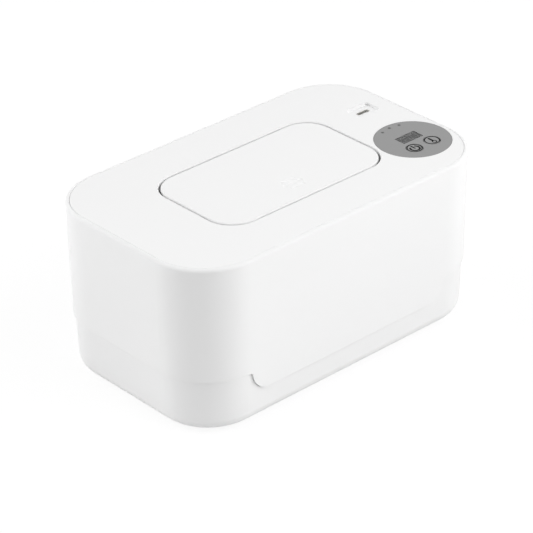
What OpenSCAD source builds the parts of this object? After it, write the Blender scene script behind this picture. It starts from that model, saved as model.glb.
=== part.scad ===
/* [Hood] */
// Length of the hood at its rim, left to right
hood_w = 210; // [190:1:240]
// Depth of the hood at its rim, front to back
hood_d = 126; // [116:1:150]
// Height of the rim above the table
hood_top = 99.8; // [92:0.1:130]
// Radius of the upright corners at the rim
corner_r = 33.2; // [31:0.1:38]
// Thickness of the hood's wall
hood_wall = 2.2; // [1.8:0.1:2.6]
// How far each side draws in from the rim down to the high seam
hood_draft = 1.04; // [0:0.01:1.6]
// Width of the rim that frames the top cover
rim_w = 2.03; // [1.9:0.01:2.4]
// Radius of the rim's outer edge
rim_fillet = 1.8; // [0.8:0.1:1.85]
// Width of the ledge that carries the top cover
ledge_w = 3.4; // [2.4:0.1:4]
// Thickness of that ledge
ledge_t = 1.8; // [1.4:0.1:2.4]

/* [Seam] */
// Height of the seam round the ends and corners
seam_high = 32.7; // [28:0.1:36]
// Height of the seam along the middle of the long sides
seam_low = 19.6; // [15:0.1:22]
// Half width of the hood's hanging apron at the high seam
apron_top_half = 69.8; // [69:0.1:71]
// Half width of the apron at its lower edge
apron_low_half = 66.5; // [60:0.1:67]
// Radius where the apron leaves the high seam
apron_top_r = 2.5; // [1:0.1:4]
// Radius where the apron reaches its lower edge
apron_low_r = 12.5; // [3:0.1:14]
// Open height of the seam between hood and base
seam_gap = 0.25; // [0.2:0.05:0.6]
// Radius of the hood's lower edge
seam_edge = 0.5; // [0.1:0.05:0.8]
// How far the base stands in from the hood at the seam
base_step = 1.09; // [0.6:0.01:1.2]

/* [Base tray] */
// How far each side of the base draws in from the seam down to its underside
base_draft = 0.8; // [0:0.05:1.4]
// Radius of the base's lower edge
base_fillet = 7.8; // [5:0.1:10]
// Thickness of the base's wall
base_wall = 2.9; // [2.4:0.1:3.4]
// Thickness of the base's floor
floor_t = 2.4; // [2:0.1:3.2]
// Thickness of the lip that locates the hood
lip_t = 1.4; // [1.1:0.1:1.8]
// Height of that lip above the high seam
lip_h = 5.3; // [3:0.1:5.8]
// Side clearance between the lip and the hood
lip_gap = 0.35; // [0.3:0.05:0.5]
// Radius of a rubber foot
foot_r = 6; // [4:0.1:8]
// How far a foot stands below the base
foot_proud = 1.2; // [0.8:0.1:2]
// Depth of a foot's recess
foot_seat = 1; // [0.6:0.1:1.3]
// Distance of each foot from the corner axis, along X and along Y
foot_offset = 10; // [6:0.5:10]

/* [Top cover] */
// Thickness of the top cover
cover_t = 2.6; // [2.4:0.1:3]
// Gap between the cover and the rim
cover_gap = 0.15; // [0.15:0.05:0.5]
// Radius of the cover's top edges
edge_r = 0.3; // [0.1:0.05:0.5]
// Radius of the cover's edge round the flap's opening
opening_edge = 0.8; // [0.3:0.05:0.9]
// Thickness of the walls and floor under the cover
well_wall = 1.8; // [1.4:0.1:2.2]
// Depth of the flap's pocket below the cover's top face
pocket_depth = 7; // [6.6:0.1:7.6]
// Distance of the dispensing opening from each end of the flap
mouth_side = 11.2; // [8:0.1:20]
// Distance of the dispensing opening from the flap's front edge
mouth_front = 15.4; // [15:0.1:18]
// Distance of the dispensing opening from the flap's back edge
mouth_back = 11.1; // [8:0.1:14]
// Height of the collar round the dispensing opening
collar_h = 1.8; // [1:0.1:2.2]

/* [Flap] */
// Distance of the flap from the hood's front
flap_front = 30.1; // [28:0.1:33]
// Distance of the flap from the hood's back
flap_back = 31.4; // [30:0.1:34]
// Corner radius of the flap
flap_r = 15.5; // [12:0.1:18]
// Thickness of the flap
flap_t = 2.4; // [2:0.1:2.6]
// Gap round the flap
flap_gap = 1.2; // [1.1:0.05:1.5]
// Radius of the flap's upper edge
flap_edge = 0.9; // [0.3:0.05:1.2]
// Bevel round the flap's underside, which clears the cover as the flap swings
flap_bevel = 0.9; // [0.7:0.05:1.2]
// Lengths of the three fingertip grooves, back to front
groove_lengths = [10, 14, 10];
// Distance of the middle groove behind the flap's front edge
groove_in = 14.75; // [12:0.05:20]
// Spacing of the grooves
groove_pitch = 4.1; // [3:0.1:5]
// Width of a groove
groove_w = 2.4; // [1.6:0.1:2.8]
// Depth of a groove
groove_depth = 0.45; // [0.2:0.05:0.6]
// Width of the seal under the flap
seal_w = 3; // [2:0.1:3.4]

/* [Flap hinge] */
// Distance of the hinge axis behind the cover's opening
hinge_back = 6; // [5.6:0.1:7]
// Depth of the hinge axis below the cover's top face
hinge_drop = 4.8; // [4.7:0.1:5.2]
// Radius of the hinge pin
pin_r = 1; // [0.7:0.05:1.1]
// Running clearance between the pin and the flap's arms
pin_gap = 0.06; // [0.04:0.01:0.1]
// Distance of each arm from the middle
arm_x = 30; // [20:0.5:36]
// Width of an arm
arm_w = 4; // [3:0.1:5]
// Thickness of an arm's hook
arm_t = 2; // [1.6:0.1:2.2]
// Radius of the eye at an arm's end
eye_r = 1.8; // [1.6:0.05:1.9]
// Thickness of a bracket beside an arm
bracket_t = 2; // [1.5:0.1:3]

/* [Push latch] */
// Distance of the latch behind the flap's front edge
latch_in = 6.4; // [6.2:0.1:8]
// Side of the latch's square plunger
plunger_w = 5; // [4:0.1:5.4]
// Wall of the latch case
case_wall = 1.4; // [1:0.1:1.6]
// Travel of the plunger
latch_travel = 2.5; // [1:0.1:3]
// Width of the striker under the flap
striker_w = 2; // [1.6:0.1:2.2]

/* [Inner liner] */
// Space between the liner and the hood's wall at the liner's flange
heater_space = 3.9; // [3.8:0.1:5]
// Thickness of the liner's walls and ceiling
liner_t = 1.6; // [1.2:0.1:1.8]
// Height of the plenum between the liner's ceiling and the cover
plenum_h = 13.2; // [13:0.1:16]
// Depth that the liner reaches down inside the base's lip
liner_reach = 3; // [1:0.1:5]
// Thickness of the liner's flange
flange_t = 1.6; // [1.2:0.1:2]
// Thickness of the gasket under the flange
gasket_t = 1.7; // [1.2:0.1:2.2]
// Thickness of the heater film
film_t = 0.4; // [0.3:0.05:0.5]
// Height of the heater film
film_h = 33; // [20:1:34]
// Thickness of the insulation foam
foam_t = 3; // [2:0.1:3.1]
// Height of the insulation foam
foam_h = 34; // [20:1:36]

/* [Screws] */
// Radius of an assembly screw's shank
screw_r = 1.45; // [1.2:0.05:1.6]
// Length of an assembly screw under its head
screw_len = 12; // [10:0.5:13]
// Radius of an assembly screw's head
screw_head_r = 2.8; // [2.4:0.1:3]
// Height of an assembly screw's head
screw_head_h = 2; // [1.5:0.1:2.4]
// Bevel inside the liner, between its ceiling and its walls
ceiling_bevel = 1.5; // [0.8:0.1:2]
// Radius of a post that takes an assembly screw
post_r = 3.5; // [3:0.1:3.8]
// Thickness of the hood's corner shelves
shelf_t = 2.4; // [2:0.1:3]
// Half of a corner shelf's width
shelf_half = 8; // [5:0.1:8.5]
// Radius of a board screw's shank
board_screw_r = 1.2; // [1:0.05:1.3]
// Length of a board screw under its head
board_screw_len = 7; // [5:0.5:9]
// Radius of a board screw's head
board_head_r = 2.1; // [1.8:0.1:2.2]
// Height of a board screw's head
board_head_h = 1.5; // [1:0.1:1.8]
// Radius of a boss that takes a board screw
boss_r = 2.5; // [2.1:0.1:2.5]

/* [Control panel] */
// Radius of the round panel
panel_r = 21.2; // [20:0.1:23]
// Width of the cover's strip between the panel and the rim
panel_strip = 1.52; // [1:0.02:3]
// Width of the cover's strip between the panel and the flap's opening
panel_wall = 0.35; // [0.3:0.05:3]
// Distance of the panel's centre from the hood's front
panel_front = 36.3; // [35:0.1:38]
// Thickness of the panel
panel_t = 1.6; // [1.2:0.1:1.8]
// Gap round the panel
panel_gap = 0.15; // [0.1:0.05:0.3]
// Length of the display window
window_w = 14.6; // [10:0.1:15.5]
// Depth of the display window
window_d = 7.6; // [6:0.1:8.4]
// Distance of the window behind the panel's centre
window_y = 3; // [3:0.1:4.5]
// Radius of a key
key_r = 4.5; // [3.5:0.05:4.6]
// Gap round a key
key_gap = 0.35; // [0.25:0.05:0.45]
// Distance of each key from the panel's centre line
key_x = 6.6; // [6.6:0.1:7]
// Distance of the keys in front of the panel's centre
key_y = 7.9; // [7:0.1:8]
// Travel of a key
key_travel = 0.5; // [0.2:0.05:0.6]
// Radius of an indicator light
light_r = 0.85; // [0.6:0.05:1]
// Distance of the indicator lights from the panel's centre
light_ring = 18; // [17:0.1:18.4]
// Angle between two indicator lights
light_angle = 20.5; // [14:0.5:26]

/* [Power inlet] */
// Distance of the inlet from the hood's right end
inlet_side = 19.8; // [19:0.1:24]
// Distance of the inlet from the hood's back
inlet_back = 46; // [44:0.1:48]
// Length of the inlet's recess
recess_w = 16.2; // [14:0.1:18]
// Depth of the recess, front to back
recess_d = 10.8; // [8:0.1:11]
// How far the recess goes down
recess_h = 1.6; // [1.4:0.1:2.8]
// Length of the socket's outer shell
socket_w = 8.94; // [8.5:0.01:9.2]
// Thickness of the socket's outer shell, front to back
socket_d = 3.16; // [3:0.01:3.3]
// Sheet thickness of the socket's shell
socket_sheet = 0.3; // [0.2:0.05:0.35]

/* [Control board] */
// Thickness of the board
board_t = 1.6; // [1.2:0.1:1.6]
// Distance of the board from the wall of the flap's pocket
board_side = 2.1; // [1:0.1:2.4]
// Distance of the board from the hood's right end
board_end = 7.5; // [6.5:0.1:8]
// Gap between the board and the screw post in front of it
board_ahead = 0.9; // [0.5:0.1:1.2]
// How far the board reaches behind the inlet's middle
board_behind = 8; // [6:0.1:12]
// Clear height between the board and the cover
board_drop = 8.8; // [8.6:0.1:9]
// Distance of each board screw from the board's edges
board_screw_inset = 2.9; // [2.8:0.1:3]
// Side of a key switch's housing
switch_w = 6; // [5:0.1:6.4]
// Height of a key switch's housing
switch_h = 3.5; // [3:0.1:3.6]
// Radius of a key switch's stem
stem_r = 1.75; // [1.2:0.05:2]
// How far that stem stands out of its housing
stem_out = 0.8; // [0.7:0.05:1]
// Radius of the insulated leads
lead_r = 0.7; // [0.5:0.05:0.8]
// Radius of the sensor's thin lead
sensor_lead_r = 0.45; // [0.3:0.05:0.5]

/* [Hidden] */

$fn = 64;
// Steps in a rounded edge of a wall section
edge_steps = 6;
// Clearance between pieces of the same assembly
fit = 0.1;
// Clearance between pieces that move past each other
run_gap = 0.3;
// Overlap that joins two solids of one piece
weld = 0.5;
// A length that reaches past the unit in every direction
far = hood_w + hood_d;

// The corner axes stand at plus and minus these places
corner_x = hood_w / 2 - corner_r;
corner_y = hood_d / 2 - corner_r;

// Wall sections are drawn with x as the distance out from a corner axis
function hood_outer(z) = corner_r - hood_draft * (hood_top - z) / (hood_top - seam_high);
function hood_inner(z) = hood_outer(z) - hood_wall;
seat_z = hood_top - cover_t;
cover_r = corner_r - rim_w - cover_gap;
lip_outer = hood_inner(seam_low) - lip_gap;
lip_inner = lip_outer - lip_t;
lip_top = seam_high + lip_h;
base_outer_high = hood_outer(seam_high) - base_step;
base_outer_low = base_outer_high - base_draft;
base_inner_low = base_outer_low - base_wall;
floor_top = foot_proud + floor_t;

// The liner hangs under the cover, round the wipe chamber
ceiling_top = seat_z - plenum_h;
ceiling_under = ceiling_top - liner_t;
flange_z = lip_top + run_gap + gasket_t;
liner_outer = hood_inner(flange_z) - heater_space;
liner_inner = liner_outer - liner_t;
flange_outer = hood_inner(flange_z) - run_gap;
film_outer = liner_outer + film_t;
foam_z = flange_z + flange_t;
film_z = foam_z + 3;

// The control panel, the flap beside it and the power inlet
panel_x = hood_w / 2 - rim_w - cover_gap - panel_strip - panel_r;
panel_y = panel_front - hood_d / 2;
flap_w = 2 * (panel_x - panel_r - panel_gap - panel_wall - flap_gap);
flap_d = hood_d - flap_front - flap_back;
flap_y = (flap_front - flap_back) / 2;
flap_front_y = flap_front - hood_d / 2;
groove_y = flap_front_y + groove_in;
latch_y = flap_front_y + latch_in;
inlet_x = hood_w / 2 - inlet_side;
inlet_y = hood_d / 2 - inlet_back;

// The flap's pocket and the dispensing opening
pocket_floor = hood_top - pocket_depth;
pocket_under = pocket_floor - well_wall;
hole_w = flap_w + 2 * flap_gap;
hole_d = flap_d + 2 * flap_gap;
hole_r = flap_r + flap_gap;
mouth_w = flap_w - 2 * mouth_side;
mouth_d = flap_d - mouth_front - mouth_back;
mouth_y = flap_y + (mouth_front - mouth_back) / 2;
mouth_r = mouth_d / 2 - 1;
mouth_wall = 1.6;
upstand_h = 3.5;
upstand_t = 1.4;
flap_under = hood_top - flap_t;
seal_z = pocket_floor + collar_h + run_gap;
hinge_y = flap_y + hole_d / 2 + hinge_back;
hinge_z = hood_top - hinge_drop;
// An arm's hook runs round the edge of the cover as the flap swings
hook_inner = norm([hinge_back, hinge_drop]) + 0.4;
hook_outer = hook_inner + arm_t;
// The spoke from the hook to the eye, as its near side in front of the axis and its width
spoke_w = 2.4;
spoke_in = -0.5;
slot_half = arm_w / 2 + run_gap;
pin_seat = 0.02;
pin_half = arm_x + slot_half + bracket_t;

// The latch stands in the pocket's floor
case_w = plunger_w + 2 * run_gap + 2 * case_wall;
case_flange = 1;
case_bottom = ceiling_top + run_gap;
plunger_top = pocket_floor + case_flange + 0.9;
plunger_bottom = case_bottom + case_wall + 1;
jaw_h = 1.5;
striker_d = 3;

// The board and what it carries
board_top = seat_z - board_drop;
board_under = board_top - board_t;
stem_top = board_top + switch_h + stem_out;
stem_len = stem_out + key_travel + 0.5;
key_flange_r = key_r + 0.9;
key_flange_t = 1.2;
key_flange_top = seat_z - run_gap;
panel_seat = hood_top - panel_t;
inlet_floor = hood_top - recess_h;
inlet_floor_t = 1.4;
recess_r = 1.5;
window_ledge = 0.5;
socket_bottom = board_top;
light_places = [for (i = [-1 : 1]) [panel_x + light_ring * sin(i * light_angle),
                                    panel_y + light_ring * cos(i * light_angle)]];
key_places = [for (side = [-1, 1]) [panel_x + side * key_x, panel_y - key_y]];
screw_offset = liner_inner - ceiling_bevel - screw_head_r - run_gap;
assembly_screw_places = [for (sx = [-1, 1], sy = [-1, 1])
                         [sx * (corner_x + screw_offset / sqrt(2)),
                          sy * (corner_y + screw_offset / sqrt(2))]];
board_left = hole_w / 2 + well_wall + board_side;
board_w = hood_w / 2 - board_end - board_left;
board_front = board_ahead + post_r - corner_y - screw_offset / sqrt(2);
board_back = inlet_y + board_behind;
board_d = board_back - board_front;
board_screw_places = [for (x = [board_left + board_screw_inset, board_left + board_w - board_screw_inset],
                           y = [board_front + board_screw_inset,
                                board_front + board_d - board_screw_inset]) [x, y]];

// Leads lie in planes across the unit; these are [y, z] along each one, from the film to the board
lead_wall_y = corner_y + film_outer + lead_r + fit;
fuse_x = board_left + 8.7;
second_lead_x = fuse_x + 4;
sensor_x = board_left + 6.6;
fuse_r = 2;
fuse_len = 11;
fuse_y = board_back + 16;
fuse_z = ceiling_top + fuse_r + fit;
fuse_lead_len = 3;
sensor_y = board_back + 9;
sensor_r = 1.2;
film_top = film_z + film_h;
lead_pad_z = board_top + lead_r + fit / 2;
lead_start_z = film_top - 1.2;
film_to_fuse = [[lead_wall_y, lead_start_z], [lead_wall_y, ceiling_top - 1],
                [lead_wall_y - 1.5, ceiling_top + 1.2], [lead_wall_y - 4, fuse_z],
                [fuse_y + fuse_len / 2 + fuse_lead_len + fit, fuse_z]];
fuse_to_board = [[fuse_y - fuse_len / 2 - fuse_lead_len - fit, fuse_z], [board_back + 5, fuse_z + 0.6],
                 [board_back + 2.2, lead_pad_z], [board_back - 1.5, lead_pad_z]];
film_to_board = [[lead_wall_y, lead_start_z], [lead_wall_y, ceiling_top],
                 [lead_wall_y - 2, ceiling_top + 3.4],
                 [lead_wall_y - 6, ceiling_top + 4.6], [board_back + 8, lead_pad_z],
                 [board_back - 1.5, lead_pad_z]];
sensor_pad_z = board_top + sensor_lead_r + fit / 2;
sensor_to_board = [[sensor_y - sensor_r - fit, ceiling_top + sensor_r],
                   [board_back + 4.5, ceiling_top + 2.4],
                   [board_back + 1.6, sensor_pad_z], [board_back - 1.5, sensor_pad_z]];

// Colours as the photograph shows them, and usual ones inside
shell_white = "#f4f4f4";
base_white = "#eeeeee";
liner_grey = "#dcdde0";
panel_grey = "#949494";
mark_grey = "#5c5c5c";
board_green = "#2f6b4a";
black_plastic = "#2b2c2e";
steel = "#c4c6c9";
copper = "#c08a4a";
silicone_grey = "#c9cccf";
socket_grey = "#d6d6d4";

// An arc's points, from one angle to another round a centre
function arc(centre, radius, from, to, steps) =
    [for (i = [0 : steps]) centre + radius * [cos(from + (to - from) * i / steps),
                                              sin(from + (to - from) * i / steps)]];

// A closed wall section carried round a rounded rectangle whose corner axes stand at half_x and half_y
module around(half_x, half_y) {
    for (sx = [0, 1], sy = [0, 1])
        mirror([sx, 0, 0]) mirror([0, sy, 0])
            translate([half_x, half_y, 0]) rotate_extrude(angle = 90) children();
    for (sy = [0, 1])
        mirror([0, sy, 0]) translate([-half_x, half_y, 0])
            rotate([90, 0, 90]) linear_extrude(2 * half_x) children();
    for (sx = [0, 1])
        mirror([sx, 0, 0]) translate([half_x, half_y, 0])
            rotate([90, 0, 0]) linear_extrude(2 * half_y) children();
}

// The outline of a rounded rectangle from its corner axes and corner radius
module plan(half_x, half_y, radius) {
    square([2 * (half_x + radius), 2 * half_y], center = true);
    square([2 * half_x, 2 * (half_y + radius)], center = true);
    for (sx = [-1, 1], sy = [-1, 1]) translate([sx * half_x, sy * half_y]) circle(radius);
}

// A rounded rectangle from its outer size
module rounded(w, d, radius) {
    plan(w / 2 - radius, d / 2 - radius, radius);
}

// A plate between two heights
module plate(z, h) {
    translate([0, 0, z]) linear_extrude(h) children();
}

// A flat plate with a rounded top edge and a bevel under it, drawn round its corner axes
module soft_plate(half_x, half_y, radius, z, h, edge, bevel) {
    border = 2 * max(edge, bevel) + 1;
    plate(z, h) plan(half_x, half_y, radius - border + weld);
    around(half_x, half_y) polygon(concat(
        [[radius - border, z], [radius - bevel, z], [radius, z + bevel]],
        arc([radius - edge, z + h - edge], edge, 0, 90, edge_steps),
        [[radius - border, z + h]]));
}

// The line of the seam on the right half of a long side, from its low stretch to its high one.
// out and down move the line, as for the edge of the base.
function seam_line(out, down) =
    let (low = [apron_low_half + out, seam_low - down],
         high = [apron_top_half + out, seam_high - down],
         slope = atan2(high[1] - low[1], high[0] - low[0]),
         high_tangent = apron_top_r * tan(slope / 2),
         low_tangent = min(apron_low_r * tan(slope / 2), norm(high - low) - high_tangent - 0.2),
         low_r = low_tangent / tan(slope / 2))
    concat(arc(low + [-low_tangent, low_r], low_r, -90, slope - 90, 2 * edge_steps),
           arc(high + [high_tangent, -apron_top_r], apron_top_r, 90 + slope, 90, edge_steps));

// A pan-head screw with its head below z = 0 and its shank rising from there
module pan_screw(shank_r, length, head_r, head_h) {
    tip = shank_r * 0.9;
    slot_w = shank_r * 0.45;
    difference() {
        union() {
            cylinder(r = shank_r, h = length - tip);
            translate([0, 0, length - tip]) cylinder(r1 = shank_r, r2 = shank_r * 0.35, h = tip);
            translate([0, 0, -head_h]) cylinder(r1 = head_r * 0.8, r2 = head_r, h = head_h * 0.5);
            translate([0, 0, -head_h * 0.5]) cylinder(r = head_r, h = head_h * 0.5);
        }
        for (turn = [0, 90]) rotate([0, 0, turn]) translate([-head_r * 0.6, -slot_w / 2, -head_h - 1])
            cube([head_r * 1.2, slot_w, head_h * 0.55 + 1]);
    }
}

// A smooth run of points through the corners of a route, as a quadratic spline
function smooth_route(points, steps) =
    let (last = len(points) - 1)
    concat([points[0]],
           [for (i = [1 : last - 1], j = [0 : steps])
                let (t = j / steps,
                     a = i == 1 ? points[0] : (points[i - 1] + points[i]) / 2,
                     b = i == last - 1 ? points[last] : (points[i] + points[i + 1]) / 2)
                if (j > 0) (1 - t) * (1 - t) * a + 2 * t * (1 - t) * points[i] + t * t * b]);

// A round lead along [y, z] points in the plane at x
module lead(x, points, radius) {
    sides = 8;
    route = smooth_route(points, 4);
    count = len(route);
    headings = [for (i = [0 : count - 1])
                    let (d = i == 0 ? points[1] - points[0]
                           : i == count - 1 ? points[len(points) - 1] - points[len(points) - 2]
                           : route[i + 1] - route[i - 1]) d / norm(d)];
    rings = [for (i = [0 : count - 1], k = [0 : sides - 1])
                 let (a = 360 * k / sides, across = [-headings[i][1], headings[i][0]])
                 [x + radius * cos(a), route[i][0] + radius * sin(a) * across[0],
                  route[i][1] + radius * sin(a) * across[1]]];
    walls = [for (i = [0 : count - 2], k = [0 : sides - 1])
                 let (n = (k + 1) % sides)
                 each [[i * sides + k, i * sides + n, (i + 1) * sides + n],
                       [i * sides + k, (i + 1) * sides + n, (i + 1) * sides + k]]];
    first = [for (k = [sides - 1 : -1 : 0]) k];
    end = [for (k = [0 : sides - 1]) (count - 1) * sides + k];
    polyhedron(rings, concat(walls, [first, end]));
}

module base_section() {
    polygon(concat(
        [[base_inner_low - base_fillet, foot_proud]],
        arc([base_outer_low - base_fillet, foot_proud + base_fillet], base_fillet, -90, 0, 2 * edge_steps),
        arc([base_outer_high - edge_r, seam_high - seam_gap - edge_r], edge_r, 0, 90, 2),
        [[lip_outer, seam_high - seam_gap], [lip_outer, lip_top - 0.6], [lip_outer - 0.4, lip_top],
         [lip_inner, lip_top]],
        arc([base_inner_low - (base_fillet - base_wall), floor_top + base_fillet - base_wall],
            base_fillet - base_wall, 0, -90, edge_steps),
        [[base_inner_low - base_fillet, floor_top]]));
}

module base_tray() {
    apron = seam_line(seam_gap * 0.4, seam_gap);
    color(base_white) difference() {
        union() {
            around(corner_x, corner_y) base_section();
            plate(foot_proud, floor_t) plan(corner_x, corner_y, base_inner_low - base_fillet + weld);
        }
        for (side = [0, 1]) mirror([0, side, 0])
            translate([0, corner_y + lip_outer, 0]) rotate([90, 0, 0]) translate([0, 0, -far])
                linear_extrude(far)
                    polygon(concat(apron, [[apron_top_half + apron_low_r, seam_high - seam_gap],
                                           [apron_top_half + apron_low_r, hood_top],
                                           [-apron_top_half - apron_low_r, hood_top],
                                           [-apron_top_half - apron_low_r, seam_high - seam_gap]],
                                   [for (i = [len(apron) - 1 : -1 : 0]) [-apron[i][0], apron[i][1]]]));
        for (sx = [-1, 1], sy = [-1, 1])
            translate([sx * (corner_x + foot_offset), sy * (corner_y + foot_offset), foot_proud - 1])
                cylinder(r = foot_r + fit, h = foot_seat + 1);
    }
}

module rubber_feet() {
    color(black_plastic)
        for (sx = [-1, 1], sy = [-1, 1])
            translate([sx * (corner_x + foot_offset), sy * (corner_y + foot_offset), 0])
                rotate_extrude() polygon(concat(
                    [[0, 0]], arc([foot_r - 0.5, 0.5], 0.5, -90, 0, 3),
                    [[foot_r, foot_proud + foot_seat], [0, foot_proud + foot_seat]]));
}

module hood_section() {
    wall_end = seat_z - ledge_t - 3;
    edge_z = seam_low + seam_edge;
    polygon(concat(
        arc([hood_outer(edge_z) - seam_edge, edge_z], seam_edge, -90, 0, edge_steps),
        arc([hood_outer(hood_top - rim_fillet) - rim_fillet, hood_top - rim_fillet], rim_fillet,
            0, 90, edge_steps),
        [[corner_r - rim_w + edge_r / 2, hood_top], [corner_r - rim_w, hood_top - edge_r / 2],
         [corner_r - rim_w, seat_z], [corner_r - rim_w - ledge_w, seat_z],
         [corner_r - rim_w - ledge_w, seat_z - ledge_t], [hood_inner(wall_end), wall_end],
         [hood_inner(seam_low), seam_low]]));
}

// A gusset across one inner corner of the hood, with the hole for its screw
module corner_shelf() {
    difference() {
        plate(ceiling_top, shelf_t) intersection() {
            circle(hood_inner(ceiling_top) + 0.8);
            rotate(45) translate([screw_offset - post_r - 0.8, -shelf_half])
                square([corner_r, 2 * shelf_half]);
        }
        rotate(45) translate([screw_offset, 0, 0])
            translate([0, 0, ceiling_top - 1]) cylinder(r = screw_r + fit, h = shelf_t + 2);
    }
}

// What the rounded lower edge takes from the hood round its ends and corners
module seam_rounding() {
    edge_out = hood_outer(seam_high + seam_edge);
    intersection() {
        around(corner_x, corner_y) polygon(concat(
            [[edge_out - seam_edge, seam_high - 1]],
            arc([edge_out - seam_edge, seam_high + seam_edge], seam_edge, -90, 0, edge_steps),
            [[edge_out + 1, seam_high + seam_edge], [edge_out + 1, seam_high - 1]]));
        for (side = [0, 1]) mirror([side, 0, 0])
            translate([corner_x + 0.4, -far / 2, seam_low]) cube([far, far, seam_high]);
    }
}

module hood_shell() {
    line = seam_line(0, 0);
    color(shell_white) difference() {
        union() {
            around(corner_x, corner_y) hood_section();
            for (sx = [0, 1], sy = [0, 1])
                mirror([sx, 0, 0]) mirror([0, sy, 0]) translate([corner_x, corner_y, 0]) corner_shelf();
        }
        for (side = [0, 1]) mirror([side, 0, 0])
            translate([0, far / 2, 0]) rotate([90, 0, 0]) linear_extrude(far)
                polygon(concat(line, [[far, seam_high], [far, seam_low - 1], [line[0][0], seam_low - 1]]));
        seam_rounding();
    }
}

// The wall round the dispensing opening, below the pocket's floor
module mouth_plan(grow) {
    translate([0, mouth_y]) rounded(mouth_w + 2 * grow, mouth_d + 2 * grow, mouth_r + grow);
}

// What the rounded edge of the flap's opening takes from the cover
module opening_rounding() {
    around(hole_w / 2 - hole_r, hole_d / 2 - hole_r) polygon(concat(
        [[hole_r - weld, hood_top - opening_edge]],
        arc([hole_r + opening_edge, hood_top - opening_edge], opening_edge, 180, 90, edge_steps),
        [[hole_r + opening_edge, hood_top + 1], [hole_r - weld, hood_top + 1]]));
}

// The space that an arm sweeps below the cover, round the hinge axis
module arm_sweep() {
    intersection() {
        translate([-slot_half, hinge_y, hinge_z]) rotate([0, 90, 0])
            cylinder(r = hook_outer + run_gap + 0.2, h = 2 * slot_half);
        translate([-slot_half - 1, 0, 0]) cube([2 * slot_half + 2, far, seat_z]);
    }
}

// A pair of brackets under the cover, one on each side of an arm
module hinge_brackets() {
    cheek_r = eye_r + 0.7;
    for (side = [-1, 1]) translate([side * (slot_half + bracket_t / 2) - bracket_t / 2, hinge_y, hinge_z])
        rotate([90, 0, 90]) linear_extrude(bracket_t) union() {
            circle(cheek_r);
            translate([-hinge_back, 0]) square([hinge_back + cheek_r, seat_z - hinge_z + weld]);
        }
}

module top_cover() {
    color(shell_white) difference() {
        union() {
            soft_plate(corner_x, corner_y, cover_r, seat_z, cover_t, edge_r, edge_r);
            translate([0, flap_y, 0]) plate(pocket_under, seat_z - pocket_under + weld)
                rounded(hole_w + 2 * well_wall, hole_d + 2 * well_wall, hole_r + well_wall);
            plate(ceiling_top + run_gap, pocket_floor - ceiling_top) mouth_plan(mouth_wall);
            translate([inlet_x, inlet_y, 0]) plate(inlet_floor - inlet_floor_t, inlet_floor_t + weld)
                rounded(recess_w + 2 * well_wall, recess_d + 2 * well_wall, recess_r + well_wall);
            for (p = assembly_screw_places) translate([p[0], p[1], ceiling_top + shelf_t])
                cylinder(r = post_r, h = seat_z - ceiling_top - shelf_t + weld);
            for (p = board_screw_places) translate([p[0], p[1], board_top])
                cylinder(r = boss_r, h = board_drop + weld);
            for (side = [-1, 1]) translate([side * arm_x, 0, 0]) hinge_brackets();
        }
        difference() {
            translate([0, flap_y, 0]) plate(pocket_floor, far) rounded(hole_w, hole_d, hole_r);
            plate(pocket_floor - 1, collar_h + 1) mouth_plan(mouth_wall);
        }
        translate([0, flap_y, 0]) opening_rounding();
        for (side = [-1, 1]) translate([side * arm_x, 0, 0]) arm_sweep();
        plate(ceiling_top - 1, far) mouth_plan(0);
        translate([0, latch_y, 0]) plate(pocket_under - 1, well_wall + 2)
            square(case_w + 2 * fit, center = true);
        translate([-pin_half - 1, hinge_y, hinge_z]) rotate([0, 90, 0])
            cylinder(r = pin_r + pin_seat, h = 2 * pin_half + 2);
        translate([panel_x, panel_y, panel_seat])
            cylinder(r = panel_r + panel_gap, h = panel_t + 1, $fn = 96);
        translate([panel_x, panel_y + window_y, 0]) plate(seat_z - 1, cover_t)
            square([window_w - 2 * window_ledge, window_d - 2 * window_ledge], center = true);
        for (p = key_places) translate([p[0], p[1], seat_z - 1]) cylinder(r = key_r + key_gap, h = cover_t);
        for (p = light_places) translate([p[0], p[1], seat_z - 1])
            cylinder(r = light_r + fit / 2, h = cover_t, $fn = 24);
        translate([inlet_x, inlet_y, 0]) {
            plate(inlet_floor, recess_h + 1) rounded(recess_w, recess_d, recess_r);
            plate(inlet_floor - inlet_floor_t - 1, inlet_floor_t + 2)
                rounded(socket_w + 2 * fit, socket_d + 2 * fit, (socket_d + 2 * fit) / 2 - 0.01);
        }
        for (p = assembly_screw_places) translate([p[0], p[1], ceiling_top])
            cylinder(r = screw_r + fit / 2, h = screw_len - liner_t + 0.5);
        for (p = board_screw_places) translate([p[0], p[1], board_top - 1])
            cylinder(r = board_screw_r + fit / 2, h = board_screw_len - board_t + 1.5);
    }
}

module inner_liner() {
    color(liner_grey) difference() {
        union() {
            around(corner_x, corner_y) polygon([
                [liner_inner, lip_top - liner_reach], [liner_outer, lip_top - liner_reach],
                [liner_outer, flange_z], [flange_outer, flange_z], [flange_outer, flange_z + flange_t],
                [liner_outer, flange_z + flange_t], [liner_outer, ceiling_top - 1],
                [liner_outer - 1, ceiling_top], [liner_inner - 4, ceiling_top],
                [liner_inner - 4, ceiling_under], [liner_inner - ceiling_bevel, ceiling_under],
                [liner_inner, ceiling_under - ceiling_bevel]]);
            plate(ceiling_under, liner_t) plan(corner_x, corner_y, liner_inner - 4 + weld);
            plate(ceiling_under, liner_t + upstand_h) mouth_plan(mouth_wall + run_gap + upstand_t);
        }
        plate(ceiling_top, far) mouth_plan(mouth_wall + run_gap);
        plate(ceiling_under - 1, far) mouth_plan(0);
        for (p = assembly_screw_places) translate([p[0], p[1], ceiling_under - 1])
            cylinder(r = screw_r + fit, h = liner_t + 2);
    }
}

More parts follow.
